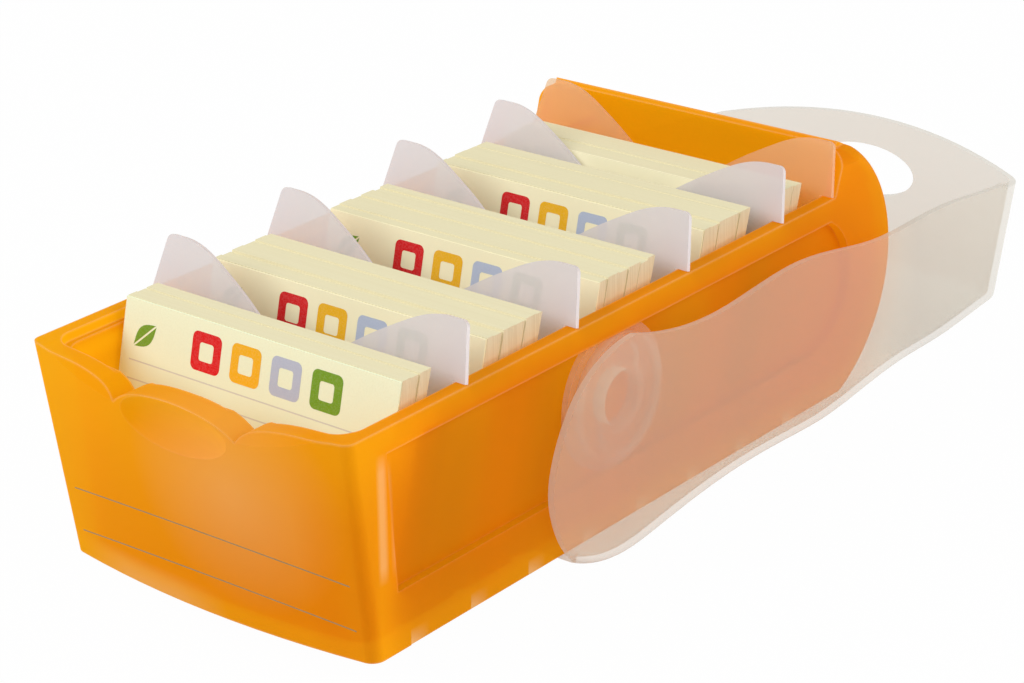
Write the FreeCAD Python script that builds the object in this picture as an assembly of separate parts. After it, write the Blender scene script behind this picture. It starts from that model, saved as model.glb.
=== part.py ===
"""Flashcard box: moulded box, lid turned under the box, two sliding pivot discs,
five lift-out dividers and five packs of small cards.

Drawing frame, mm: X across (0 is the middle), Y from front to back with 0 at the
front corners of the rim, Z up with 0 at the underside of the box.
export() moves everything into the part's own frame.
"""
import math
import os

import FreeCAD
import Part

V = FreeCAD.Vector

# Box
RIM_Z = 48.7             # height of the rim
RIM_HALF = 42.7          # outer half width at the rim
FOOT_HALF = RIM_HALF - 1.1       # outer half width at the underside
MOUTH_HALF = RIM_HALF - 3.1      # inner half width at the rim
TRACK_X = RIM_HALF - 2.6         # floor of the slide tracks
BIN_HALF = TRACK_X - 1.8         # inner half width below the ledge
SKIN = 1.5                       # side wall that hides the notches
STAND_H = 0.15                   # step behind the strip that the box stands on
LEDGE_Z = RIM_Z - 2.1
FLOOR_Z = 2.6
HULL_Y = 151.5           # axis of the round back end
HUB_Z = 29.2             # height of the slide tracks and of the hinge
HULL_R = 33.8
HULL_R_IN = HULL_R - 1.3
BACK_TOP_Z = HUB_Z + 0.911 * HULL_R

# Slide tracks in the sides
TRACK_R = 16.05
COLLAR_Z = RIM_Z - 5.4

# Lid
LID_Y = 81.5             # where the hinge stands in the photograph
PLATE_T = 1.3
ARM_T = 1.5
ARM_X = RIM_HALF + 0.8           # inner face of the arms
LID_X = ARM_X + ARM_T            # outer face of the arms
WRAP_R = HULL_R + 0.3 + PLATE_T  # outer radius of the lid round the hinge
PIN_R = 6.0
BORE_R = PIN_R + 0.05

# Notches across the underside
NOTCH_Y = 16.1
NOTCH_STEP = 18.05
NOTCH_N = 9
NOTCH_H = 2.3
NOTCH_L = 5.4

# Dividers and cards
LEAN = math.radians(18.5)
EAR_Z = 60.3
EAR_Y = [37.8, 72.1, 109.7, 144.2, 163.6]
SHEET_T = 1.0
CARD_T = 0.30
CARD_HALF = BIN_HALF - 1.3       # half of the 74 mm card width


def face_yz(edges, x=0.0):
    """Face from a closed loop of edges drawn in the YZ plane at x."""
    return Part.Face(Part.Wire(Part.__sortEdges__(edges)))


def line(a, b):
    return Part.makeLine(a, b)


def arc3(a, m, b):
    return Part.Arc(a, m, b).toShape()


def spline(points):
    curve = Part.BSplineCurve()
    curve.interpolate(points)
    return curve.toShape()


def polar(y, z, r, deg, x=0.0):
    t = math.radians(deg)
    return V(x, y + r * math.cos(t), z + r * math.sin(t))


def prism_x(points, x0, x1):
    """Polygon in YZ, extruded from x0 to x1."""
    ring = [V(x0, y, z) for y, z in points]
    return Part.Face(Part.makePolygon(ring + ring[:1])).extrude(V(x1 - x0, 0, 0))


def cylinder_x(y, z, r, x0, x1):
    return Part.makeCylinder(r, x1 - x0, V(x0, y, z), V(1, 0, 0))


def largest(shape):
    return max(shape.Solids, key=lambda s: s.Volume)


def try_fillet(shape, radius, keep, name):
    """Round the edges that keep() picks; a radius that fails is tried smaller."""
    edges = [e for e in shape.Edges if keep(e)]
    for r in (radius, radius * 0.75, radius * 0.5):
        try:
            out = shape.makeFillet(r, edges)
            if out.isValid() and out.Volume > 0:
                return out
        except Exception:
            continue
    print("no fillet on", name, len(edges))
    return shape


def plan_wire(z, half, y_corner, y_mid, y_back, r):
    """Plan outline: bowed front, rounded front corners, straight sides and back."""
    bow = y_corner - y_mid
    big = (half * half + bow * bow) / (2 * bow)
    cy = y_mid + big
    # centre of the corner circle, inside the bow and inside the side
    cx = half - r
    ccy = cy - math.sqrt((big - r) ** 2 - cx ** 2)
    dx, dy = cx, ccy - cy
    n = math.hypot(dx, dy)
    tx, ty = dx / n * big, cy + dy / n * big
    mid = math.atan2(ty - ccy, tx - cx) / 2
    mx, my = cx + r * math.cos(mid), ccy + r * math.sin(mid)
    right = [V(tx, ty, z), V(mx, my, z), V(half, ccy, z)]
    left = [V(-p.x, p.y, z) for p in right]
    edges = [
        arc3(left[0], V(0, y_mid, z), right[0]),
        arc3(*right),
        line(right[2], V(half, y_back, z)),
        line(V(half, y_back, z), V(-half, y_back, z)),
        line(V(-half, y_back, z), left[2]),
        arc3(left[2], left[1], left[0]),
    ]
    return Part.Wire(edges)


def plan_loft(z0, z1, low, high):
    return Part.makeLoft([plan_wire(z0, *low), plan_wire(z1, *high)], True, True)


def slope(at0, at43, z):
    return at0 + (at43 - at0) * z / 43.0


def make_box():
    deep, top = -12.0, 66.0
    half_at = (RIM_HALF - FOOT_HALF) / RIM_Z
    low = (FOOT_HALF + half_at * deep, slope(5.8, 0.6, deep), slope(2.3, -4.0, deep), 196.0, 3.1)
    high = (FOOT_HALF + half_at * top, slope(5.8, 0.6, top), slope(2.3, -4.0, top), 196.0, 2.4)
    body = plan_loft(deep, top, low, high)

    # side outline: round back, radial lip, cheek, rim; what lies under z 0 is cut off after the rounding
    foot = polar(HULL_Y, HUB_Z, HULL_R, -75)
    lip_deg = math.degrees(math.asin((BACK_TOP_Z - HUB_Z) / HULL_R))
    lip = polar(HULL_Y, HUB_Z, HULL_R, lip_deg)
    lip_in = polar(HULL_Y, HUB_Z, HULL_R_IN, lip_deg)
    cheek_y = 160.7
    cheek_top = V(0, cheek_y + (lip_in.z - RIM_Z) * math.tan(LEAN), lip_in.z)
    side = [
        line(V(0, -20, deep), V(0, foot.y, deep)),
        line(V(0, foot.y, deep), foot),
        arc3(foot, polar(HULL_Y, HUB_Z, HULL_R, 0), lip),
        line(lip, lip_in),
        line(lip_in, cheek_top) if (lip_in - cheek_top).Length > 0.01 else None,
        line(cheek_top, V(0, cheek_y, RIM_Z)),
        line(V(0, cheek_y, RIM_Z), V(0, -20, RIM_Z)),
        line(V(0, -20, RIM_Z), V(0, -20, deep)),
    ]
    outline = face_yz([e for e in side if e])
    outline.translate(V(-60, 0, 0))
    body = body.common(outline.extrude(V(120, 0, 0)))

    # rounded top corners of the back wall
    corner = Part.makeBox(8, 60, 8, V(RIM_HALF - 3.2, 152, BACK_TOP_Z - 3.2 - 1.8))
    corner = corner.cut(Part.makeCylinder(4.2, 60, V(RIM_HALF - 4.0, 152, BACK_TOP_Z - 5.6), V(0, 1, 0)))
    corner = corner.common(Part.makeBox(8, 60, 8, V(RIM_HALF - 4.0, 152, BACK_TOP_Z - 5.6)))
    body = body.cut(corner).cut(corner.mirror(V(0, 0, 0), V(1, 0, 0)))
    body = largest(body)

    body = try_fillet(body, 2.4, is_hull_edge, "hull")
    body = body.cut(Part.makeBox(120, 260, -deep, V(-60, -20, deep)))

    # inside
    bin_low = (BIN_HALF, 7.6, 4.2, 196.0, 5.0)
    bin_high = (BIN_HALF, 2.9, 1.6, 196.0, 5.0)
    cavity = plan_loft(0.0, top, bin_low, bin_high)
    mouth = plan_loft(LEDGE_Z, top, (MOUTH_HALF, 2.9, 1.6, 196.0, 5.0), (MOUTH_HALF, 2.6, 1.2, 196.0, 5.0))
    cavity = cavity.fuse(mouth)
    base = V(0, HULL_Y + math.sqrt(HULL_R_IN ** 2 - (HUB_Z - FLOOR_Z) ** 2), FLOOR_Z)
    high_in = polar(HULL_Y, HUB_Z, HULL_R_IN, 78)
    inner = face_yz([
        line(V(0, -20, FLOOR_Z), base),
        arc3(base, polar(HULL_Y, HUB_Z, HULL_R_IN, 0), high_in),
        line(high_in, V(0, high_in.y, 70)),
        line(V(0, high_in.y, 70), V(0, -20, 70)),
        line(V(0, -20, 70), V(0, -20, FLOOR_Z)),
    ])
    inner.translate(V(-60, 0, 0))
    cavity = cavity.common(inner.extrude(V(120, 0, 0)))

    # ribs on the floor over the notches, and the notches
    inboard = FOOT_HALF - SKIN
    for k in range(NOTCH_N - 1):
        y = NOTCH_Y + NOTCH_STEP * k
        rib = [(y - 1.3, 2.0), (y - 1.3, 3.4), (y + 0.1, 3.4), (y + 1.5, 2.9), (y + 2.6, FLOOR_Z), (y + 2.6, 2.0)]
        cavity = cavity.cut(prism_x(rib, -60, 60))
    body = largest(body.cut(cavity))
    for k in range(NOTCH_N - 1):
        y = NOTCH_Y + NOTCH_STEP * k
        body = body.cut(prism_x([(y, -1), (y, NOTCH_H), (y + NOTCH_L, 0), (y + NOTCH_L, -1)], -inboard, inboard))
    # the box stands on the strip in front of the first notch
    body = body.cut(Part.makeBox(120, 240, 1, V(-60, NOTCH_Y, STAND_H - 1)))

    # slide tracks: open pocket up to the collar, slot for the disc behind the collar
    for side_x in (1, -1):
        front = 12.7
        pocket = Part.makeBox(8, HULL_Y - 31.0, COLLAR_Z - (HUB_Z - TRACK_R),
                              V(TRACK_X, 31.0, HUB_Z - TRACK_R))
        nose = prism_x([(front, HUB_Z - TRACK_R), (31.5, HUB_Z - TRACK_R), (31.5, COLLAR_Z),
                        (10.3, COLLAR_Z)], TRACK_X, TRACK_X + 8)
        end = cylinder_x(HULL_Y, HUB_Z, TRACK_R, TRACK_X, TRACK_X + 8)
        end = end.common(Part.makeBox(8, 60, 60, V(TRACK_X, HULL_Y - 30, COLLAR_Z - 60)))
        slot = Part.makeBox(1.5, HULL_Y - 20.0, 6.0, V(TRACK_X, 20.0, HUB_Z + TRACK_R - 6.0))
        slot = slot.fuse(cylinder_x(HULL_Y, HUB_Z, TRACK_R, TRACK_X, TRACK_X + 1.5))
        cutter = pocket.fuse([nose, end, slot])
        if side_x < 0:
            cutter = cutter.mirror(V(0, 0, 0), V(1, 0, 0))
        body = body.cut(cutter)

    # top edge of the front: two shoulders and the finger tab
    tab = [V(-16.4, -20, 43.4), V(-12.3, -20, 46.1), V(-6.5, -20, 47.6), V(0, -20, 47.9),
           V(6.5, -20, 47.6), V(12.3, -20, 46.1), V(16.4, -20, 43.4)]
    right = [V(16.4, -20, 43.4), V(18.6, -20, 45.7), V(22.5, -20, 47.2), V(30, -20, 48.2), V(39, -20, 48.7)]
    left = [V(-p.x, p.y, p.z) for p in reversed(right)]
    above = Part.Face(Part.Wire([
        spline(left), spline(tab), spline(right),
        line(V(39, -20, 48.7), V(39, -20, 60)), line(V(39, -20, 60), V(-39, -20, 60)),
        line(V(-39, -20, 60), V(-39, -20, 48.7))]))
    body = body.cut(above.extrude(V(0, 27, 0)))

    # facets that lean back under the shoulders
    for s in (1, -1):
        a, b, c = V(s * 17, -3.4, 43.0), V(s * 36, -1.45, 48.3), V(s * 24, -2.1, 48.4)
        n = (b - a).cross(c - a)
        n.normalize()
        if n.y > 0:
            n = -n
        mid = (a + b + c) / 3
        plate = Part.makePlane(60, 60, V(-30, -30, 0), V(0, 0, 1))
        plate.Placement = FreeCAD.Placement(mid, FreeCAD.Rotation(V(0, 0, 1), n)).multiply(plate.Placement)
        wedge = plate.extrude(n * 12)
        limit = Part.makeBox(30, 40, 20, V(16.4 if s > 0 else -46.4, -30, 38))
        body = body.cut(wedge.common(limit))

    # finger dish
    dish = Part.makeSphere(1.0)
    m = FreeCAD.Matrix()
    m.scale(21.6, 8.2, 8.0)
    dish = dish.transformGeometry(m)
    dish.translate(V(0, -9.5, 41.6))
    body = body.cut(dish)
    return largest(body)


def is_hull_edge(e):
    """Long edge round the back end, where the arc meets a side."""
    box = e.BoundBox
    return box.XLength < 3.5 and box.YMax > HULL_Y + HULL_R - 2 and box.ZLength > 30 and e.Length > 60


def end_plan(half, y_mid, bow, r):
    """Plan outline of the lid at z 0: bowed, round-cornered far end."""
    wire = plan_wire(0.0, half, bow, 0.0, 260.0, r)
    turned = wire.copy()
    turned.rotate(V(0, 0, 0), V(0, 0, 1), 180)
    turned.translate(V(0, y_mid, 0))
    return turned


def lid_side(offset, x):
    """Underside of the lid seen from the side, moved inwards by offset."""
    r = WRAP_R - offset
    start = polar(LID_Y, HUB_Z, r, -118, x)
    low = V(x, LID_Y, HUB_Z - r)
    mid = polar(LID_Y, HUB_Z, r, -100, x)
    wave = [low, V(x, 92.0, -5.3 + offset), V(x, 106.0, -3.6 + offset), V(x, 122.0, -2.5 + offset),
            V(x, 140.0, -2.7 + offset), V(x, 156.0, -3.0 + offset), V(x, 172.0, -1.4 + offset),
            V(x, 188.0, 0.0 + offset), V(x, 205.0, 0.2 + offset), V(x, 218.0, 1.2 + offset), V(x, 262.0, 5.8 + offset)]
    curve = Part.BSplineCurve()
    curve.interpolate(wave, InitialTangent=V(0, 12, 0), FinalTangent=V(0, 40, 5))
    return start, low, mid, curve.toShape(), wave[-1]


def make_lid():
    span = 2 * LID_X
    start, low, mid, wave, last = lid_side(0.0, -LID_X)
    top = [V(-LID_X, 84.4, 42.7), V(-LID_X, 92.4, 40.2), V(-LID_X, 103.0, 38.1), V(-LID_X, 113.6, 37.4),
           V(-LID_X, 128.3, 38.3), V(-LID_X, 143.4, 39.0), V(-LID_X, 159.2, 37.1), V(-LID_X, 175.6, 34.5),
           V(-LID_X, 192.0, 34.3), V(-LID_X, 205.6, 34.0), V(-LID_X, 221.4, 32.2), V(-LID_X, 231.0, 31.4)]
    far = V(-LID_X, 262.0, last.z)
    side = face_yz([
        arc3(start, mid, low), wave, line(last, V(-LID_X, 262, 44)),
        line(V(-LID_X, 262, 44), V(-LID_X, 231, 44)), line(V(-LID_X, 231, 44), V(-LID_X, 231, 31.4)),
        spline(top),
        spline([V(-LID_X, 84.4, 42.7), V(-LID_X, 75.4, 41.2), V(-LID_X, 66.4, 36.2), V(-LID_X, 59.8, 27.4),
                V(-LID_X, 56.6, 16.6), V(-LID_X, 58.0, 8.6), V(-LID_X, 61.2, 2.2), start]),
    ])
    outer = side.extrude(V(span, 0, 0))
    lean = V(0, 0.315, 1.0)
    shell = Part.Face(end_plan(LID_X, 232.4, 4.3, 3.2))
    shell.translate(lean * -12)
    outer = outer.common(shell.extrude(lean * 62))

    # arched top edge of the end wall
    cap = Part.Face(Part.Wire([
        arc3(V(-60, 222, 25.2), V(0, 222, 36.3), V(60, 222, 25.2)),
        line(V(60, 222, 25.2), V(60, 222, 60)), line(V(60, 222, 60), V(-60, 222, 60)),
        line(V(-60, 222, 60), V(-60, 222, 25.2))]))
    blunt = cap.extrude(V(0, 40, 0))
    blunt = blunt.common(Part.makeBox(120, 40, 60, V(-60, 231.0, 10)))
    outer = largest(outer.cut(blunt))
    outer = try_fillet(outer, 3.6, is_lid_bottom, "lid bottom")

    start, low, mid, wave, last = lid_side(PLATE_T, -ARM_X)
    left = polar(LID_Y, HUB_Z, WRAP_R - PLATE_T, 180, -ARM_X)
    inside = face_yz([
        arc3(left, polar(LID_Y, HUB_Z, WRAP_R - PLATE_T, -135, -ARM_X), low), wave,
        line(last, V(-ARM_X, 262, 70)), line(V(-ARM_X, 262, 70), V(-ARM_X, left.y, 70)),
        line(V(-ARM_X, left.y, 70), left),
    ])
    inside = inside.extrude(V(2 * ARM_X, 0, 0))
    shell = Part.Face(end_plan(ARM_X, 232.4 - 1.5, 4.1, 1.8))
    shell.translate(lean * -12)
    inside = largest(inside.common(shell.extrude(lean * 90)))
    inside = try_fillet(inside, 2.2, is_lid_bottom, "lid inside")
    lid = outer.cut(inside)
    front_end = polar(LID_Y, HUB_Z, 44.0, -118)
    lid = largest(lid.cut(prism_x([(LID_Y, HUB_Z), (front_end.y, front_end.z), (40, -12), (40, 45)],
                                  -ARM_X, ARM_X)))

    # oval hole in the end wall
    oval = Part.Ellipse(V(0, 215, 23.8), 14.9, 6.0).toShape()
    oval.rotate(V(0, 215, 23.8), V(1, 0, 0), 90)
    lid = lid.cut(Part.Face(Part.Wire(oval)).extrude(V(0, 40, 0)))

    # hinge pins
    for s in (1, -1):
        pin = cylinder_x(LID_Y, HUB_Z, PIN_R, TRACK_X + 0.3, ARM_X + ARM_T / 2)
        lid = lid.fuse(pin if s > 0 else pin.mirror(V(0, 0, 0), V(1, 0, 0)))
    return largest(lid.removeSplitter())


def is_lid_bottom(e):
    """Edges where the underside meets the arms and the end wall."""
    box = e.BoundBox
    if box.ZMax > 12 or box.ZLength > 9 or box.YMax < LID_Y - 12:
        return False
    return box.XLength < 12 or box.YMin > 215


def make_disc(s):
    """Round slider that runs in the track and carries the lid's pin."""
    x0 = TRACK_X + 0.05
    disc = cylinder_x(LID_Y, HUB_Z, TRACK_R - 0.05, x0, x0 + 1.35)
    rim = cylinder_x(LID_Y, HUB_Z, 13.9, x0 + 1.0, ARM_X - 0.15)
    rim = rim.cut(cylinder_x(LID_Y, HUB_Z, 12.9, x0, ARM_X + 1))
    hub = cylinder_x(LID_Y, HUB_Z, 7.6, x0 + 1.0, ARM_X - 0.15)
    ribs = []
    for up in (1, -1):
        z = HUB_Z + up * 6.9
        rib = cylinder_x(LID_Y, z, 6.4, x0 + 1.0, ARM_X - 0.5).cut(cylinder_x(LID_Y, z, 5.4, x0, ARM_X + 1))
        half = Part.makeBox(10, 12, 24, V(x0, LID_Y if up > 0 else LID_Y - 12, HUB_Z - 14))
        ribs.append(rib.common(half))
    disc = disc.fuse([rim, hub] + ribs)
    disc = disc.cut(cylinder_x(LID_Y, HUB_Z, BORE_R, x0 - 1, x0 + 5))
    if s < 0:
        disc = disc.mirror(V(0, 0, 0), V(1, 0, 0))
    return largest(disc)


def make_divider(ear_y):
    """Thin sheet with two ears whose shoulders rest on the rim."""
    c = math.cos(LEAN)
    v0 = 3.45 / c
    shoulder = (RIM_Z + 0.18) / c
    top = EAR_Z / c
    right = [V(8.0, 0, 46.8 / c), V(13.0, 0, 50.2 / c), V(18.0, 0, 53.3 / c), V(23.7, 0, 56.4 / c),
             V(29.5, 0, 59.1 / c), V(36.0, 0, top)]
    left = [V(-p.x, 0, p.z) for p in reversed(right)]
    wide, neck, low = RIM_HALF - 0.3, MOUTH_HALF - 0.3, BIN_HALF - 0.3
    inner = [(wide - 2.2, top), (wide, shoulder), (neck, shoulder), (neck, (LEDGE_Z + 1.4) / c),
             (low, (LEDGE_Z + 0.3) / c), (low, v0)]
    ring = [V(x, 0, v) for x, v in inner] + [V(-x, 0, v) for x, v in reversed(inner)]
    edges = [spline(left), line(left[-1], right[0]), spline(right), line(right[-1], ring[0])]
    edges += [line(a, b) for a, b in zip(ring, ring[1:])]
    edges.append(line(ring[-1], left[0]))
    sheet = Part.Face(Part.Wire(edges)).extrude(V(0, SHEET_T, 0))
    sheet.translate(V(0, -SHEET_T / 2, 0))
    sheet = try_fillet(sheet, 1.6, is_ear_corner, "ear")
    sheet.rotate(V(0, 0, 0), V(1, 0, 0), -math.degrees(LEAN))
    sheet.translate(V(0, ear_y - EAR_Z * math.tan(LEAN), 0))
    return largest(sheet)


def is_ear_corner(e):
    box = e.BoundBox
    return box.ZLength < 0.01 and box.XLength < 0.01 and abs(box.XMax) > RIM_HALF - 2.7 and box.ZMin > EAR_Z + 1


def make_pack(front_y, back_y, front_deg, back_deg, shift, steps):
    """Pack of leaning cards between two slopes: front card, middle cards, back card.

    front_y and back_y are where the top edges stand at z 52.5. steps gives the
    middle bundles as (share of the depth, height change, sideways change).
    """
    z0 = 3.45
    z1 = 52.5
    half = CARD_HALF
    tf = math.tan(math.radians(front_deg))
    tb = math.tan(math.radians(back_deg))

    def at(share, z):
        f = front_y - (52.5 - z) * tf
        b = back_y - (52.5 - z) * tb
        return f + (b - f) * share

    def slab(a, b, dz, dx):
        points = [(at(a, z0), z0), (at(b, z0), z0), (at(b, z1 + dz), z1 + dz), (at(a, z1 + dz), z1 + dz)]
        return prism_x(points, shift + dx - half, shift + dx + half)

    skin = CARD_T / (back_y - front_y)
    front = slab(0.0, skin, 0.0, 0.0)
    back = slab(1.0 - skin, 1.0, 0.0, 0.0)
    bundles = []
    a = skin
    for share, dz, dx in steps:
        b = min(share, 1.0 - skin)
        bundles.append(slab(a, b, dz, dx))
        a = b
    return front, Part.makeCompound(bundles), back


PACKS = [
    (21.3, 30.0, 14.4, 17.6, 0.1, [(0.30, 0.15, 0.1), (0.62, -0.2, -0.2), (1.0, 0.1, 0.15)]),
    (46.6, 64.2, 14.4, 17.9, -0.1, [(0.12, 0.2, 0.1), (0.30, -0.2, -0.2), (0.48, 0.3, 0.2), (0.7, 0.0, -0.1),
                                    (0.88, 0.35, 0.15), (1.0, 0.1, 0.0)]),
    (82.9, 101.9, 14.4, 17.9, -0.2, [(0.14, 0.1, 0.0), (0.33, 0.4, 0.2), (0.52, -0.1, -0.2), (0.72, 0.25, 0.1),
                                     (0.86, -0.15, 0.2), (1.0, 0.2, 0.0)]),
    (119.0, 136.4, 14.4, 17.9, -0.3, [(0.16, 0.25, 0.2), (0.34, -0.1, -0.1), (0.55, 0.3, 0.1), (0.78, 0.05, -0.2),
                                      (1.0, 0.2, 0.1)]),
    (143.3, 155.6, 18.0, 18.0, 0.0, [(0.4, 0.0, 0.1), (0.75, 0.3, -0.1), (1.0, 0.1, 0.0)]),
]


def build():
    parts = {"box_body": make_box(), "lid": make_lid(),
             "pivot_disc_right": make_disc(1), "pivot_disc_left": make_disc(-1)}
    for i, y in enumerate(EAR_Y, 1):
        parts["divider_%d" % i] = make_divider(y)
    for i, spec in enumerate(PACKS, 1):
        front, middle, back = make_pack(*spec)
        parts["front_card_%d" % i] = front
        parts["card_pack_%d" % i] = middle
        parts["back_card_%d" % i] = back
    return parts


def export(parts):
    whole = Part.makeCompound(list(parts.values())).optimalBoundingBox(False, False)
    move = V(-(whole.XMin + whole.XMax) / 2, -(whole.YMin + whole.YMax) / 2, -whole.ZMin)
    print("box", whole)
    print("move", move)
    os.makedirs("parts", exist_ok=True)
    for name, shape in parts.items():
        out = shape.copy()
        out.translate(move)
        out.exportStep("parts/%s.step" % name)
        print("%-18s solids %d valid %s volume %.1f" % (name, len(out.Solids), out.isValid(), out.Volume))


export(build())
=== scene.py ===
"""Looks of the flashcard box: frosted orange box, clear frosted lid and discs, pale
dividers, cream cards with a plain generic print, and the camera and light of the
photograph.

The scene is in metres. Places on the part are written in mm in the frame that the part
was drawn in, and place(), on_y() and on_z() turn them into places of the scene. The
colours in linear() are written as 0 to 255. A tint is the share of red, green and blue
light that passes.
"""
import math

import bmesh
import bpy
from mathutils import Matrix, Vector
from mathutils.bvhtree import BVHTree


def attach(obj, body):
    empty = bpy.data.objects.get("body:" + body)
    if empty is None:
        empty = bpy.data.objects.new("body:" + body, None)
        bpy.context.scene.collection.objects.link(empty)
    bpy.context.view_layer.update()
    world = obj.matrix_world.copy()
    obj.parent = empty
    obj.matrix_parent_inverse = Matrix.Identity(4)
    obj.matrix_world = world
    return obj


MM = 0.001
SHIFT_Y = -119.6055        # from the drawing frame of the part to its own frame, mm
SHIFT_Z = 6.2
CARD_LEAN = math.radians(14.4)
SHEET_LEAN = math.radians(18.5)
WHITE = (1.0, 1.0, 1.0)

# Directions: to the side, up, and where the large faces of sheets and cards look
SIDEWAYS = (1.0, 0.0, 0.0)
UPWARD = (0.0, 0.0, 1.0)
SHEET_FACE = (0.0, math.cos(SHEET_LEAN), -math.sin(SHEET_LEAN))
CARD_FACE = (0.0, math.cos(CARD_LEAN), -math.sin(CARD_LEAN))


def place(x, y, z):
    """Point given in mm in the drawing frame, as a point of the scene."""
    return Vector((x, y + SHIFT_Y, z + SHIFT_Z)) * MM


def on_y(y):
    """The y of such a point in the scene."""
    return (y + SHIFT_Y) * MM


def on_z(z):
    """The z of such a point in the scene."""
    return (z + SHIFT_Z) * MM


def linear(r, g, b):
    """Colour written as 0 to 255, as the shaders want it."""
    return tuple(c / 255 / 12.92 if c < 10.3 else ((c / 255 + 0.055) / 1.055) ** 2.4 for c in (r, g, b))


# Shader nodes

def feed(tree, socket, item):
    """Give a socket another node's output, a number, a direction or a colour."""
    if isinstance(item, bpy.types.NodeSocket):
        tree.links.new(item, socket)
    elif socket.type == "RGBA":
        socket.default_value = (*item, 1.0)
    else:
        socket.default_value = item


def math_node(tree, operation, *items):
    """Number that an operation gives for one or two numbers."""
    node = tree.nodes.new("ShaderNodeMath")
    node.operation = operation
    for socket, item in zip(node.inputs, items):
        feed(tree, socket, item)
    return node.outputs[0]


def absolute(tree, value):
    return math_node(tree, "ABSOLUTE", value)


def product(tree, first, *others):
    """All the values multiplied."""
    value = first
    for other in others:
        value = math_node(tree, "MULTIPLY", value, other)
    return value


def highest(tree, first, *others):
    """The greatest of the values."""
    value = first
    for other in others:
        value = math_node(tree, "MAXIMUM", value, other)
    return value


def ramp(tree, value, low, high, to_low=0.0, to_high=1.0):
    """Value mapped from low..high to to_low..to_high, held at the ends."""
    node = tree.nodes.new("ShaderNodeMapRange")
    feed(tree, node.inputs["Value"], value)
    feed(tree, node.inputs["From Min"], low)
    feed(tree, node.inputs["From Max"], high)
    feed(tree, node.inputs["To Min"], to_low)
    feed(tree, node.inputs["To Max"], to_high)
    return node.outputs["Result"]


def band(tree, value, middle, half, soft):
    """1 within half of the middle, falling to 0 over soft on either side."""
    off = absolute(tree, math_node(tree, "SUBTRACT", value, middle))
    return ramp(tree, off, half, half + soft, 1.0, 0.0)


def vector_value(tree, operation, first, second):
    """Number that an operation gives for two vectors."""
    node = tree.nodes.new("ShaderNodeVectorMath")
    node.operation = operation
    feed(tree, node.inputs[0], first)
    feed(tree, node.inputs[1], second)
    return node.outputs["Value"]


def along(tree, vector, direction):
    """How far the vector runs along the direction."""
    return vector_value(tree, "DOT_PRODUCT", vector, direction)


def facing(tree, normal, direction):
    """1 where a face looks along the direction or against it, 0 where it looks across."""
    return absolute(tree, along(tree, normal, direction))


def axes(tree, vector):
    """The x, y and z of a vector."""
    node = tree.nodes.new("ShaderNodeSeparateXYZ")
    feed(tree, node.inputs[0], vector)
    return node.outputs


def blend(tree, factor, first, second):
    """Colour that goes from first to second with factor."""
    node = tree.nodes.new("ShaderNodeMix")
    node.data_type = "RGBA"
    feed(tree, node.inputs["Factor"], factor)
    feed(tree, node.inputs["A"], first)
    feed(tree, node.inputs["B"], second)
    return node.outputs["Result"]


def noise(tree, where, scale, detail=2.0):
    node = tree.nodes.new("ShaderNodeTexNoise")
    feed(tree, node.inputs["Scale"], scale)
    feed(tree, node.inputs["Detail"], detail)
    feed(tree, node.inputs["Vector"], where)
    return node.outputs[0]


def bump(tree, relief, strength, depth):
    """Normal of a surface with a relief that is depth mm deep."""
    node = tree.nodes.new("ShaderNodeBump")
    feed(tree, node.inputs["Strength"], strength)
    feed(tree, node.inputs["Distance"], depth * MM)
    feed(tree, node.inputs["Height"], relief)
    return node.outputs[0]


def shader(tree, kind, color):
    """Simple shader node with its colour."""
    node = tree.nodes.new(kind)
    feed(tree, node.inputs["Color"], color)
    return node


def mix_shaders(tree, share, first, second):
    """Shader that goes from first to second with share."""
    node = tree.nodes.new("ShaderNodeMixShader")
    feed(tree, node.inputs[0], share)
    feed(tree, node.inputs[1], first)
    feed(tree, node.inputs[2], second)
    return node.outputs[0]


def seen_ray(tree):
    """1 for camera, glossy and transmission rays."""
    path = tree.nodes.new("ShaderNodeLightPath")
    return highest(tree, path.outputs["Is Camera Ray"], path.outputs["Is Glossy Ray"],
                   path.outputs["Is Transmission Ray"])


def empty_material(name):
    mat = bpy.data.materials.new(name)
    mat.use_nodes = True
    mat.node_tree.nodes.clear()
    return mat


def matt_material(name, rough):
    """Matt material that keeps the shader node it starts with."""
    mat = bpy.data.materials.new(name)
    mat.use_nodes = True
    body = mat.node_tree.nodes["Principled BSDF"]
    body.inputs["Roughness"].default_value = rough
    body.inputs["Specular IOR Level"].default_value = 0.2
    return mat, body


# Light, camera and floor

WORLD_STRENGTH = 0.54
LAMP_SIZE = 1.2
LAMPS = (("key", (-0.9, -1.3, 1.2), 24), ("fill", (1.5, 0.1, 0.9), 15))     # name, place, watts
FLOOR_HALF = 4.0
FLOOR_Z = -0.0001
FLOOR_GREY = (0.68, 0.68, 0.68)
FLOOR_WHITE_SHARE = 0.985

# The camera, solved from the straight edges of the box in the photograph
PHOTO_WIDTH_PX = 1024
FOCAL_PX = 2992.9
SENSOR_WIDTH = 36.0
CAMERA_PLACE = (383.805, -362.386, 280.438)
YAW = -0.694026
PITCH = 0.402693
ROLL = -0.025951


def link(obj):
    bpy.context.scene.collection.objects.link(obj)


def world_light():
    """Even white light; the world itself is seen as plain white."""
    world = bpy.data.worlds.new("studio")
    bpy.context.scene.world = world
    world.use_nodes = True
    tree = world.node_tree
    tree.nodes.clear()
    out = tree.nodes.new("ShaderNodeOutputWorld")
    lit = shader(tree, "ShaderNodeBackground", WHITE)
    lit.inputs["Strength"].default_value = WORLD_STRENGTH
    white = shader(tree, "ShaderNodeBackground", WHITE)
    feed(tree, out.inputs["Surface"], mix_shaders(tree, seen_ray(tree), lit.outputs[0], white.outputs[0]))


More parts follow.
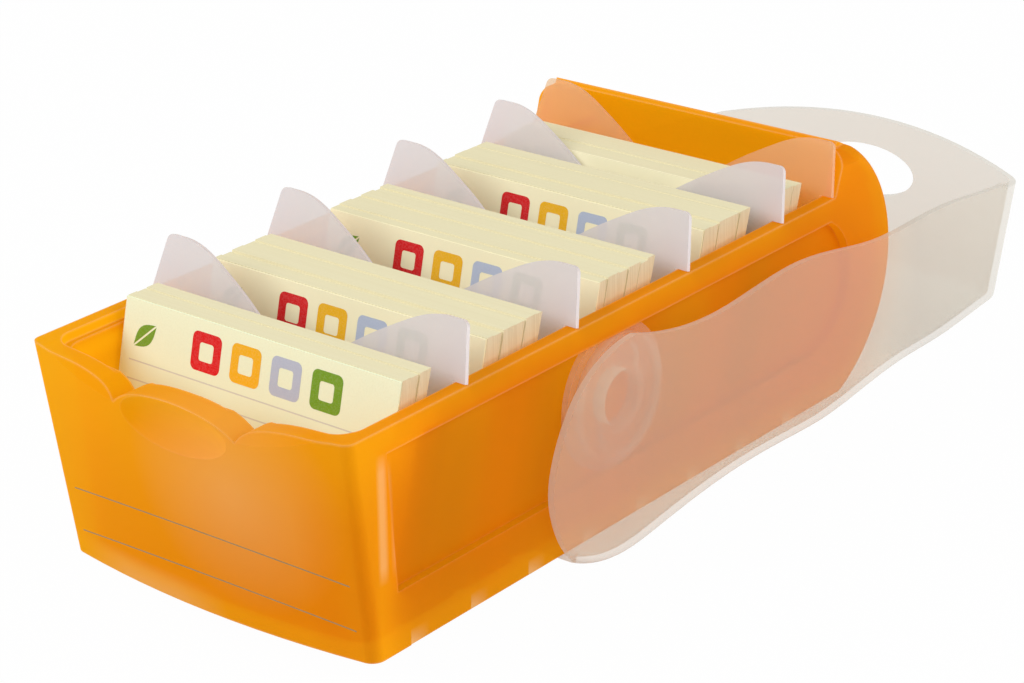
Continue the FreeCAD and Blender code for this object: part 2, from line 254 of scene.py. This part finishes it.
def area_light(name, position, power):
    """Square soft lamp that points at the origin."""
    data = bpy.data.lights.new(name, "AREA")
    data.shape = "RECTANGLE"
    data.size = LAMP_SIZE
    data.size_y = LAMP_SIZE
    data.energy = power
    lamp = bpy.data.objects.new(name, data)
    link(lamp)
    lamp.location = position
    lamp.rotation_mode = "QUATERNION"
    lamp.rotation_quaternion = (-Vector(position)).to_track_quat("-Z", "Y")


def camera():
    """Camera that sees the part as the photograph does."""
    data = bpy.data.cameras.new("camera")
    data.sensor_fit = "HORIZONTAL"
    data.sensor_width = SENSOR_WIDTH
    data.lens = FOCAL_PX / PHOTO_WIDTH_PX * SENSOR_WIDTH
    data.clip_start = 0.01
    data.clip_end = 20.0
    cam = bpy.data.objects.new("camera", data)
    link(cam)
    ahead = Vector((math.sin(YAW) * math.cos(PITCH), math.cos(YAW) * math.cos(PITCH), -math.sin(PITCH)))
    level_right = Vector((math.cos(YAW), -math.sin(YAW), 0))
    level_up = level_right.cross(ahead)
    right = level_right * math.cos(ROLL) + level_up * math.sin(ROLL)
    up = level_up * math.cos(ROLL) - level_right * math.sin(ROLL)
    turn = Matrix((right, up, -ahead)).transposed()
    cam.matrix_world = Matrix.Translation(place(*CAMERA_PLACE)) @ turn.to_4x4()
    bpy.context.scene.camera = cam


def floor():
    """Wide white floor; seen directly it is nearly white and keeps a faint shadow."""
    mesh = bpy.data.meshes.new("floor")
    corners = [(x * FLOOR_HALF, y * FLOOR_HALF, FLOOR_Z) for x, y in ((-1, -1), (1, -1), (1, 1), (-1, 1))]
    mesh.from_pydata(corners, [], [(0, 1, 2, 3)])
    obj = bpy.data.objects.new("floor", mesh)
    link(obj)
    mat = empty_material("floor_white")
    tree = mat.node_tree
    out = tree.nodes.new("ShaderNodeOutputMaterial")
    dull = shader(tree, "ShaderNodeBsdfDiffuse", FLOOR_GREY)
    glow = shader(tree, "ShaderNodeEmission", WHITE)
    share = product(tree, seen_ray(tree), FLOOR_WHITE_SHARE)
    feed(tree, out.inputs["Surface"], mix_shaders(tree, share, dull.outputs[0], glow.outputs[0]))
    mesh.materials.append(mat)


# Frosted plastic

# painted light: over this span of x the colour goes from the lit to the shaded one
PAINTED_LIGHT_SPAN = (-42 * MM, 42 * MM)
CLOUD_SCALE = 24.0
CLOUD_RANGE = (0.35, 0.65)
CLOUD_TONE = (-0.1, 0.1)
GRAIN_SCALE = 1400.0
GRAIN_DETAIL = 3.0
GRAIN_STRENGTH = 0.12
GRAIN_DEPTH = 0.05
NARROW_TURN = (0.97, 0.6)      # facing() of a large face, and of a narrow one
REFRACTION = 1.45
CLEAR_WALL = 0.2               # a wall clearer than this casts a light shadow
CLEAR_PASS = 0.8               # how far shadow rays pass such a wall
DULL_PASS = 0.1                # and how far they pass the others


def plastic(name, face, shade, passed, tint, through, clear, rough, gloss, flat=None, rim=None,
            rim_share=0.35, marks=None):
    """Frosted plastic wall.

    face and shade are its colours towards -X and +X: painted light, face the lit colour on
    the side of the key lamp and shade the shaded one away from it. passed and tint the
    colours of the light that comes through scattered and straight; through is the share of
    scattered light that passes the wall, clear the share that goes straight through. flat
    is the direction that the large faces look in, rim the paler colour of the narrow faces
    between them, a painted highlight along the edges, and rim_share how clear those are
    beside the large ones. marks is a function that adds its marks, painted light and shade
    among them, to the colour. The surface on the far side of a wall lets everything pass,
    so a wall filters once.
    """
    mat = empty_material(name)
    tree = mat.node_tree
    out = tree.nodes.new("ShaderNodeOutputMaterial")
    where = tree.nodes.new("ShaderNodeTexCoord").outputs["Object"]
    geometry = tree.nodes.new("ShaderNodeNewGeometry")
    normal = geometry.outputs["True Normal"]

    cloud = noise(tree, where, CLOUD_SCALE)
    # painted light from lit towards -X to shaded towards +X, with random cloudy tone on top
    painted_light_and_cloud = math_node(tree, "ADD", ramp(tree, axes(tree, where)[0], *PAINTED_LIGHT_SPAN),
                     ramp(tree, cloud, *CLOUD_RANGE, *CLOUD_TONE))
    color = blend(tree, painted_light_and_cloud, face, shade)
    clear_share = clear
    # narrow faces take the paler rim colour, a painted highlight along the edges
    if flat:
        narrow = ramp(tree, facing(tree, normal, flat), *NARROW_TURN)
        color = blend(tree, narrow, color, rim)
        clear_share = ramp(tree, narrow, 0.0, 1.0, clear, clear * rim_share)
    if marks:
        color = marks(tree, where, normal, color)

    relief = bump(tree, noise(tree, where, GRAIN_SCALE, GRAIN_DETAIL), GRAIN_STRENGTH, GRAIN_DEPTH)
    body = tree.nodes.new("ShaderNodeBsdfPrincipled")
    body.inputs["Roughness"].default_value = rough
    body.inputs["IOR"].default_value = REFRACTION
    body.inputs["Specular IOR Level"].default_value = gloss
    feed(tree, body.inputs["Base Color"], color)
    feed(tree, body.inputs["Normal"], relief)
    passing = shader(tree, "ShaderNodeBsdfTranslucent", passed)
    feed(tree, passing.inputs["Normal"], relief)
    straight = shader(tree, "ShaderNodeBsdfTransparent", tint)
    wall = mix_shaders(tree, through, body.outputs[0], passing.outputs[0])
    sheet = mix_shaders(tree, clear_share, wall, straight.outputs[0])

    shadow_ray = tree.nodes.new("ShaderNodeLightPath").outputs["Is Shadow Ray"]
    forward_share = product(tree, shadow_ray, CLEAR_PASS if clear > CLEAR_WALL else DULL_PASS)
    forward = shader(tree, "ShaderNodeBsdfTransparent", tint)
    shaded = mix_shaders(tree, forward_share, sheet, forward.outputs[0])
    far_side = shader(tree, "ShaderNodeBsdfTransparent", WHITE)
    shown = mix_shaders(tree, geometry.outputs["Backfacing"], shaded, far_side.outputs[0])
    feed(tree, out.inputs["Surface"], shown)
    return mat


# Painted light and shade on the box: where each mark begins and ends, and how strong it is

# colour of the painted highlights and glows on the box
GLOW_ORANGE = linear(248, 214, 166)
EDGE_RADIUS = 0.9
EDGE_SAMPLES = 4
EDGE_TURN = (0.99, 0.80)
EDGE_HIGHLIGHT = 0.42
EDGE_IN_TRACK = 0.25
EDGE_BEHIND = 0.3
BOX_BEHIND = (on_y(172), on_y(184))

TRACK_SIDE = (39.2 * MM, 39.8 * MM)        # just inside the floor of a slide track
TRACK_TOP = (on_z(43.6), on_z(43.0))
TRACK_FRONT = (on_y(8.5), on_y(9.5))

NOTCH_Y = 16.1
NOTCH_STEP = 18.05
NOTCH_LENGTH = 5.4
NOTCH_COUNT = 8
NOTCH_END_SOFT = 0.02
NOTCH_HEIGHT = (on_z(0), on_z(3.6))
NOTCH_SIDE = (40.5 * MM, 41.3 * MM)        # just inside the outer face of a side wall
NOTCH_GLOW = 0.9

STREAK_HALF = 0.5
OUTER_STREAK_SIDE = (40.0 * MM, 41.3 * MM)
OUTER_STREAK_HIGHLIGHT = 0.48
INNER_STREAK_HIGHLIGHT = 0.30

CARD_GLOW_PLACE = (13.0, -2.0, 31.0)
CARD_GLOW_REACH = (2.0 * MM, 27.0 * MM)
CARD_GLOW = 0.30

FOOT_X = -16.0 * MM
FOOT_HALF = 8.0 * MM
FOOT_SOFT = 14.0 * MM
FOOT_HEIGHT = (on_z(6.5), on_z(1.0))
FOOT_FRONT = (on_y(6.0), on_y(3.0))
FOOT_PALE = 0.32

CORNER_SHADE_COLOR = linear(214, 104, 4)
CORNER_SIDE = (27.0 * MM, 41.0 * MM)
CORNER_FRONT = (on_y(8.0), on_y(6.0))
CORNER_HEIGHT = (on_z(44.0), on_z(30.0))
CORNER_SHADE = 0.6

SILL_COLOR = linear(196, 96, 4)
SILL_COLOR_BEHIND = linear(232, 96, 6)
SILL_BEHIND = (on_y(150), on_y(160))
SILL_TURN = (0.9, 0.8)
SILL_DEEP = 0.75


def edge_highlights(tree, normal, y, track):
    """Painted highlight on rounded edges, fainter in the slide tracks and at the back of the box."""
    soft = tree.nodes.new("ShaderNodeBevel")
    soft.samples = EDGE_SAMPLES
    soft.inputs["Radius"].default_value = EDGE_RADIUS * MM
    return product(tree, ramp(tree, along(tree, soft.outputs[0], normal), *EDGE_TURN, 0.0, EDGE_HIGHLIGHT),
                   ramp(tree, track, 0.0, 1.0, 1.0, EDGE_IN_TRACK),
                   ramp(tree, y, *BOX_BEHIND, 1.0, EDGE_BEHIND))


def notch_glow(tree, side, y, z):
    """Painted glow of light through the notches under the floor, seen through the side wall."""
    count = math_node(tree, "DIVIDE", math_node(tree, "SUBTRACT", y, on_y(NOTCH_Y)), NOTCH_STEP * MM)
    inside = ramp(tree, math_node(tree, "FRACT", count), 0.0, NOTCH_LENGTH / NOTCH_STEP, 1.0, 0.0)
    in_range = band(tree, count, NOTCH_COUNT / 2, NOTCH_COUNT / 2, NOTCH_END_SOFT)
    return product(tree, inside, ramp(tree, z, *NOTCH_HEIGHT, 1.0, 0.0), in_range,
                   ramp(tree, side, *NOTCH_SIDE), NOTCH_GLOW)


def streak(tree, y, z, middle_y, soft_y, middle_z, half_z, soft_z):
    """Upright painted highlight streak at the front end of the slide track, sizes in mm."""
    return product(tree, band(tree, y, on_y(middle_y), STREAK_HALF * MM, soft_y * MM),
                   band(tree, z, on_z(middle_z), half_z * MM, soft_z * MM))


def seen_cards_glow(tree, where):
    """Painted glow on the front wall where the cards stand behind it, for their light showing through."""
    distance = vector_value(tree, "DISTANCE", where, place(*CARD_GLOW_PLACE))
    return ramp(tree, distance, *CARD_GLOW_REACH, CARD_GLOW, 0.0)


def foot_mark(tree, x, y, z):
    """Light that gathers along the foot of the front wall."""
    return product(tree, band(tree, x, FOOT_X, FOOT_HALF, FOOT_SOFT), ramp(tree, z, *FOOT_HEIGHT),
                   ramp(tree, y, *FOOT_FRONT), FOOT_PALE)


def box_marks(tree, where, normal, color):
    """Painted highlights and glows where the wall is thin or light gathers in it, and painted shade in two
    deeper places.
    """
    x, y, z = axes(tree, where)
    side = absolute(tree, x)
    track = product(tree, ramp(tree, side, *TRACK_SIDE), ramp(tree, z, *TRACK_TOP),
                    ramp(tree, y, *TRACK_FRONT))

    # painted highlight streaks, outside and inside the slide track
    outer = streak(tree, y, z, middle_y=8.7, soft_y=1.1, middle_z=30.0, half_z=10.0, soft_z=4.0)
    outer = product(tree, outer, ramp(tree, x, *OUTER_STREAK_SIDE), OUTER_STREAK_HIGHLIGHT)
    inner = streak(tree, y, z, middle_y=12.6, soft_y=1.2, middle_z=28.5, half_z=7.0, soft_z=5.0)
    inner = product(tree, inner, ramp(tree, x, *TRACK_SIDE), INNER_STREAK_HIGHLIGHT)
    painted_highlights = highest(tree, edge_highlights(tree, normal, y, track), notch_glow(tree, side, y, z), outer, inner,
                   seen_cards_glow(tree, where), foot_mark(tree, x, y, z))
    color = blend(tree, painted_highlights, color, GLOW_ORANGE)

    # painted shade: the front corner beside the slide track is deeper orange
    corner = product(tree, ramp(tree, x, *CORNER_SIDE), ramp(tree, y, *CORNER_FRONT),
                     ramp(tree, z, *CORNER_HEIGHT), CORNER_SHADE)
    color = blend(tree, corner, color, CORNER_SHADE_COLOR)

    # the narrow faces round the slide track lie in the shade of the collar
    sill = product(tree, ramp(tree, facing(tree, normal, SIDEWAYS), *SILL_TURN), track, SILL_DEEP)
    sill_color = blend(tree, ramp(tree, y, *SILL_BEHIND), SILL_COLOR, SILL_COLOR_BEHIND)
    return blend(tree, sill, color, sill_color)


# Marks on the lid and the discs, with painted bounce light on the lid

LID_GREY = linear(202, 202, 196)
LID_GREY_SHARE = 0.85
LID_BEHIND = (on_y(178), on_y(192))
LID_BOUNCE_ORANGE = linear(218, 178, 142)
LID_BOUNCE_SHARE = 0.45
LID_UNDER = (on_z(4), on_z(1))
LID_UNDER_BOX = (on_y(172), on_y(150))
DISC_LOWER = linear(214, 166, 128)
DISC_UPPER = linear(238, 224, 206)
DISC_MIDDLE = (on_z(29.4), on_z(31.0))
DISC_SHARE = 0.6


def lid_marks(tree, where, _, color):
    """Greyer behind the box, and below the box a painted warm glow for orange light bounced from the box's
    underside.
    """
    _, y, z = axes(tree, where)
    color = blend(tree, ramp(tree, y, *LID_BEHIND, 0.0, LID_GREY_SHARE), color, LID_GREY)
    # painted orange bounce light below the box
    under = product(tree, ramp(tree, z, *LID_UNDER), ramp(tree, y, *LID_UNDER_BOX), LID_BOUNCE_SHARE)
    return blend(tree, under, color, LID_BOUNCE_ORANGE)


def disc_marks(tree, where, _, color):
    """The upper half of a disc is paler than its lower half."""
    upper = ramp(tree, axes(tree, where)[2], *DISC_MIDDLE)
    return blend(tree, DISC_SHARE, color, blend(tree, upper, DISC_LOWER, DISC_UPPER))


# Each plastic of the part

def box_plastic():
    return plastic("orange_plastic", face=linear(239, 161, 2), shade=linear(231, 138, 6),
                   passed=linear(255, 182, 12), tint=(1.0, 0.42, 0.01), through=0.40, clear=0.08,
                   rough=0.55, gloss=0.06, marks=box_marks)


def lid_plastic():
    return plastic("clear_plastic", face=linear(230, 226, 212), shade=linear(230, 224, 208),
                   passed=linear(238, 230, 216), tint=(0.97, 0.95, 0.91), through=0.35, clear=0.55,
                   rough=0.45, gloss=0.3, flat=SIDEWAYS, rim=linear(240, 230, 214), rim_share=0.55,
                   marks=lid_marks)


def disc_plastic():
    return plastic("disc_plastic", face=linear(230, 218, 202), shade=linear(232, 214, 196),
                   passed=linear(245, 232, 216), tint=(0.98, 0.94, 0.88), through=0.35, clear=0.74,
                   rough=0.4, gloss=0.3, flat=SIDEWAYS, rim=linear(246, 234, 218), rim_share=0.75,
                   marks=disc_marks)


def divider_plastic():
    return plastic("divider_plastic", face=linear(216, 212, 215), shade=linear(206, 203, 208),
                   passed=linear(236, 230, 232), tint=(0.92, 0.91, 0.93), through=0.40, clear=0.10,
                   rough=0.45, gloss=0.3, flat=SHEET_FACE, rim=linear(232, 228, 232))


def last_divider_plastic():
    """The last divider, in front of the back wall, with the orange of the wall seen through it painted into
    its colours.
    """
    return plastic("divider_plastic_on_wall", face=linear(222, 192, 152), shade=linear(226, 192, 148),
                   passed=linear(246, 214, 172), tint=(1.0, 0.86, 0.70), through=0.40, clear=0.38,
                   rough=0.45, gloss=0.3, flat=SHEET_FACE, rim=linear(236, 192, 154))


# Paper and ink

PAPER_ROUGH = 0.8
PAPER_TURN = math.radians(16.2)
PACK_SCALE = (12.0, 3600.0, 12.0)
FRONT_SCALE = (2600.0, 2600.0, 2600.0)
FIBRE_RANGE = (0.42, 0.68)
FIBRE_STRENGTH = 0.15
FIBRE_DEPTH = 0.1
PACK_EDGE_TURN = (0.9, 0.7)
PACK_TOP_TURN = (0.5, 0.9)
PACK_TOP_LINES = 0.2
PACK_SIDE_TURN = (0.6, 0.9)
PACK_SIDE_SHARE = 0.8
FRONT_FARTHER = (on_y(24), on_y(30))
FRONT_LOW = (on_z(53), on_z(34))
FRONT_FOOT = (on_z(18), on_z(32))
FRONT_FOOT_SHARE = 0.3
INK_ROUGH = 0.7
INK_SCALE = 3000.0
INK_RANGE = (0.4, 0.7)
INK_FADE = 0.05


def fibres(tree, coord, scale):
    """Noise of paper, turned about as far as the cards lean."""
    turn = tree.nodes.new("ShaderNodeMapping")
    turn.inputs["Rotation"].default_value = (PAPER_TURN, 0.0, 0.0)
    turn.inputs["Scale"].default_value = scale
    feed(tree, turn.inputs["Vector"], coord.outputs["Object"])
    return noise(tree, turn.outputs[0], 1.0)


def pack_paper():
    """Cards of a pack, whose edges show as fine uneven lines."""
    mat, body = matt_material("card_paper", PAPER_ROUGH)
    tree = mat.node_tree
    coord = tree.nodes.new("ShaderNodeTexCoord")
    normal = coord.outputs["Normal"]
    grain = fibres(tree, coord, PACK_SCALE)
    lines = ramp(tree, grain, *FIBRE_RANGE)
    edge = ramp(tree, facing(tree, normal, CARD_FACE), *PACK_EDGE_TURN)
    top = ramp(tree, along(tree, normal, UPWARD), *PACK_TOP_TURN, 1.0, PACK_TOP_LINES)
    color = blend(tree, product(tree, lines, edge, top), linear(222, 214, 178), linear(208, 197, 156))
    side = ramp(tree, facing(tree, normal, SIDEWAYS), *PACK_SIDE_TURN, 0.0, PACK_SIDE_SHARE)
    side_color = blend(tree, lines, linear(222, 208, 176), linear(212, 196, 162))
    feed(tree, body.inputs["Base Color"], blend(tree, side, color, side_color))
    feed(tree, body.inputs["Normal"], bump(tree, grain, FIBRE_STRENGTH, FIBRE_DEPTH))
    return mat


def front_paper():
    """Printed cards; low down the first is cooler, to offset the orange light in the box."""
    mat, body = matt_material("printed_card", PAPER_ROUGH)
    tree = mat.node_tree
    coord = tree.nodes.new("ShaderNodeTexCoord")
    _, y, z = axes(tree, coord.outputs["Object"])
    grain = fibres(tree, coord, FRONT_SCALE)
    color = blend(tree, ramp(tree, grain, *FIBRE_RANGE), linear(230, 238, 208), linear(227, 234, 203))
    farther = ramp(tree, y, *FRONT_FARTHER)
    low_part = product(tree, ramp(tree, z, *FRONT_LOW), ramp(tree, z, *FRONT_FOOT, FRONT_FOOT_SHARE, 1.0))
    other_color = blend(tree, farther, linear(219, 235, 213), linear(240, 233, 197))
    shown = blend(tree, highest(tree, low_part, farther), color, other_color)
    feed(tree, body.inputs["Base Color"], shown)
    feed(tree, body.inputs["Normal"], bump(tree, grain, FIBRE_STRENGTH, FIBRE_DEPTH))
    return mat


def ink(name, color):
    """Printed colour with a trace of the paper's grain."""
    mat, body = matt_material(name, INK_ROUGH)
    tree = mat.node_tree
    where = tree.nodes.new("ShaderNodeTexCoord").outputs["Object"]
    paler = [c + (1 - c) * INK_FADE for c in color]
    grain = ramp(tree, noise(tree, where, INK_SCALE), *INK_RANGE)
    feed(tree, body.inputs["Base Color"], blend(tree, grain, color, paler))
    return mat


# Print on the front cards: drawn flat, u across the card and v down from its top edge, mm

FRONT_CARDS = ((21.3, 0.1), (46.6, -0.1), (82.9, -0.2), (119.0, -0.3))   # y of the top edge, x of the middle
CARD_TOP_Z = 52.5
PRINT_GAP = 0.02
TICK_COLORS = ("red", "yellow", "grey", "green")
TICK_U = -13.5
TICK_V = 6.4
TICK_STEP = 10.8
TICK_HALF = 4.0
TICK_ROUND = 1.4
HOLE_HALF = 1.9
HOLE_ROUND = 0.6
CORNER_STEPS = 6
LEAF_U = -33.5
LEAF_V = 9.4
LEAF_ALONG = (5.6, -5.0)
LEAF_ACROSS = (0.75, 0.85)
LEAF_HALF = 1.7
LEAF_EDGE_OFF = 0.12
LEAF_RIB_OFF = 0.18
LEAF_STEPS = 10
RULE_COUNT = 9
RULE_V = 12.5
RULE_STEP = 3.9
RULE_LENGTH_HALF = 34.5
RULE_WIDTH_HALF = 0.14
WELD = 1e-7


def piece(name, faces, mat, body):
    """Mesh piece from lists of corner points, riding on a body."""
    bm = bmesh.new()
    for corners in faces:
        bm.faces.new([bm.verts.new(p) for p in corners])
    bmesh.ops.remove_doubles(bm, verts=bm.verts, dist=WELD)
    mesh = bpy.data.meshes.new(name)
    bm.to_mesh(mesh)
    bm.free()
    mesh.materials.append(mat)
    obj = bpy.data.objects.new(name, mesh)
    link(obj)
    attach(obj, body)


def rounded(cx, cy, half, r):
    """Corner points of a rounded square."""
    points = []
    for k, (sx, sy) in enumerate(((1, 1), (-1, 1), (-1, -1), (1, -1))):
        for i in range(CORNER_STEPS + 1):
            t = math.radians(90 * k + 90 * i / CORNER_STEPS)
            points.append((cx + sx * (half - r) + r * math.cos(t), cy + sy * (half - r) + r * math.sin(t)))
    return points


def tick_box(u, v):
    """Square frame with rounded corners."""
    outer = rounded(u, v, TICK_HALF, TICK_ROUND)
    inner = rounded(u, v, HOLE_HALF, HOLE_ROUND)
    following = [(i, (i + 1) % len(outer)) for i in range(len(outer))]
    return [[inner[i], inner[j], outer[j], outer[i]] for i, j in following]


def leaf():
    """Small slanting leaf in two halves with a bare midrib."""
    faces = []
    for side in (1, -1):
        edge = [(i / LEAF_STEPS, side * (LEAF_HALF * math.sin(math.pi * i / LEAF_STEPS) + LEAF_EDGE_OFF))
                for i in range(LEAF_STEPS + 1)]
        spine = [(i / LEAF_STEPS, side * LEAF_RIB_OFF) for i in range(LEAF_STEPS + 1)]
        for i in range(LEAF_STEPS):
            quad = [(LEAF_U + LEAF_ALONG[0] * a + LEAF_ACROSS[0] * b,
                     LEAF_V + LEAF_ALONG[1] * a + LEAF_ACROSS[1] * b)
                    for a, b in (edge[i], edge[i + 1], spine[i + 1], spine[i])]
            faces.append(quad if side < 0 else quad[::-1])
    return faces


def ruled_lines():
    """Thin lines for writing on."""
    half = RULE_LENGTH_HALF
    faces = []
    for k in range(RULE_COUNT):
        lower = RULE_V + RULE_STEP * k + RULE_WIDTH_HALF
        upper = RULE_V + RULE_STEP * k - RULE_WIDTH_HALF
        faces.append([(-half, lower), (half, lower), (half, upper), (-half, upper)])
    return faces


def card_print(index, front_y, shift, inks):
    """Four tick boxes, a small leaf and ruled lines on the front card of a pack."""
    def on_card(u, v):
        y = front_y - v * math.sin(CARD_LEAN) - PRINT_GAP * math.cos(CARD_LEAN)
        z = CARD_TOP_Z - v * math.cos(CARD_LEAN) + PRINT_GAP * math.sin(CARD_LEAN)
        return place(u + shift, y, z)

    def lay(name, faces, mat):
        laid = [[on_card(u, v) for u, v in corners] for corners in faces]
        piece("%s_%d" % (name, index), laid, mat, "pack_%d" % index)

    for k, color in enumerate(TICK_COLORS):
        lay("tick_" + color, tick_box(TICK_U + TICK_STEP * k, TICK_V), inks[color])
    lay("leaf", leaf(), inks["green"])
    lay("card_rules", ruled_lines(), inks["rule"])


# Writing lines on the front wall of the box

LINES = (("writing_line_top", 0.0), ("writing_line_low", 10.15))       # name, mm down
LINE_X = -36.9
LINE_LENGTH = 75.2
LINE_STEPS = 48
LINE_Z = 19.5
LINE_SLOPE = 0.0123
LINE_BEND = 0.001914
LINE_HALF = 0.16
LINE_GAP = 0.03
IN_FRONT_Y = -40.0


def wall_lines(box, mat):
    """Two writing lines, laid on the bowed wall with rays from in front of the box."""
    wall = BVHTree.FromPolygons([v.co[:] for v in box.data.vertices],
                                [p.vertices[:] for p in box.data.polygons])
    for name, drop in LINES:
        pairs = []
        for i in range(LINE_STEPS + 1):
            x = LINE_X + LINE_LENGTH * i / LINE_STEPS
            z = LINE_Z + LINE_SLOPE * x - LINE_BEND * x * x - drop
            hits = [wall.ray_cast(place(x, IN_FRONT_Y, z + dz), Vector((0, 1, 0)))[0]
                    for dz in (-LINE_HALF, LINE_HALF)]
            pairs.append([hit - Vector((0, LINE_GAP * MM, 0)) for hit in hits])
        quads = [[left[0], right[0], right[1], left[1]] for left, right in zip(pairs, pairs[1:])]
        piece(name, quads, mat, "box")


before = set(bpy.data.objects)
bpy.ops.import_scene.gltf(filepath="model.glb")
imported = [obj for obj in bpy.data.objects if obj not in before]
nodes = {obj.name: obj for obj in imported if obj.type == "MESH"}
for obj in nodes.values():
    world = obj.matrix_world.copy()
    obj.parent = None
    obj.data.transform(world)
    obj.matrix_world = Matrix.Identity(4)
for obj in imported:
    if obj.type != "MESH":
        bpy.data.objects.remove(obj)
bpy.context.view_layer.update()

# A node takes the first material whose word its name starts with
pack_card = pack_paper()
finishes = (
    ("box_body", box_plastic()),
    ("lid", lid_plastic()),
    ("pivot_disc", disc_plastic()),
    ("divider_5", last_divider_plastic()),
    ("divider", divider_plastic()),
    ("front_card", front_paper()),
    ("card_pack", pack_card),
    ("back_card", pack_card),
)
for name, obj in nodes.items():
    obj.data.materials.clear()
    obj.data.materials.append(next(mat for start, mat in finishes if name.startswith(start)))

inks = {
    "red": ink("ink_red", linear(205, 6, 16)),
    "yellow": ink("ink_yellow", linear(228, 172, 6)),
    "grey": ink("ink_grey", linear(172, 183, 204)),
    "green": ink("ink_green", linear(106, 150, 26)),
    "rule": ink("ink_rule", linear(196, 202, 196)),
    "line": ink("ink_line", linear(158, 130, 82)),
}
for index, (front_y, shift) in enumerate(FRONT_CARDS, 1):
    card_print(index, front_y, shift, inks)
wall_lines(nodes["box_body"], inks["line"])

world_light()
camera()
floor()
for name, position, power in LAMPS:
    area_light(name, position, power)

bpy.context.scene.view_settings.view_transform = "Standard"
bpy.context.scene.cycles.transparent_max_bounces = 24      # clear walls one behind another
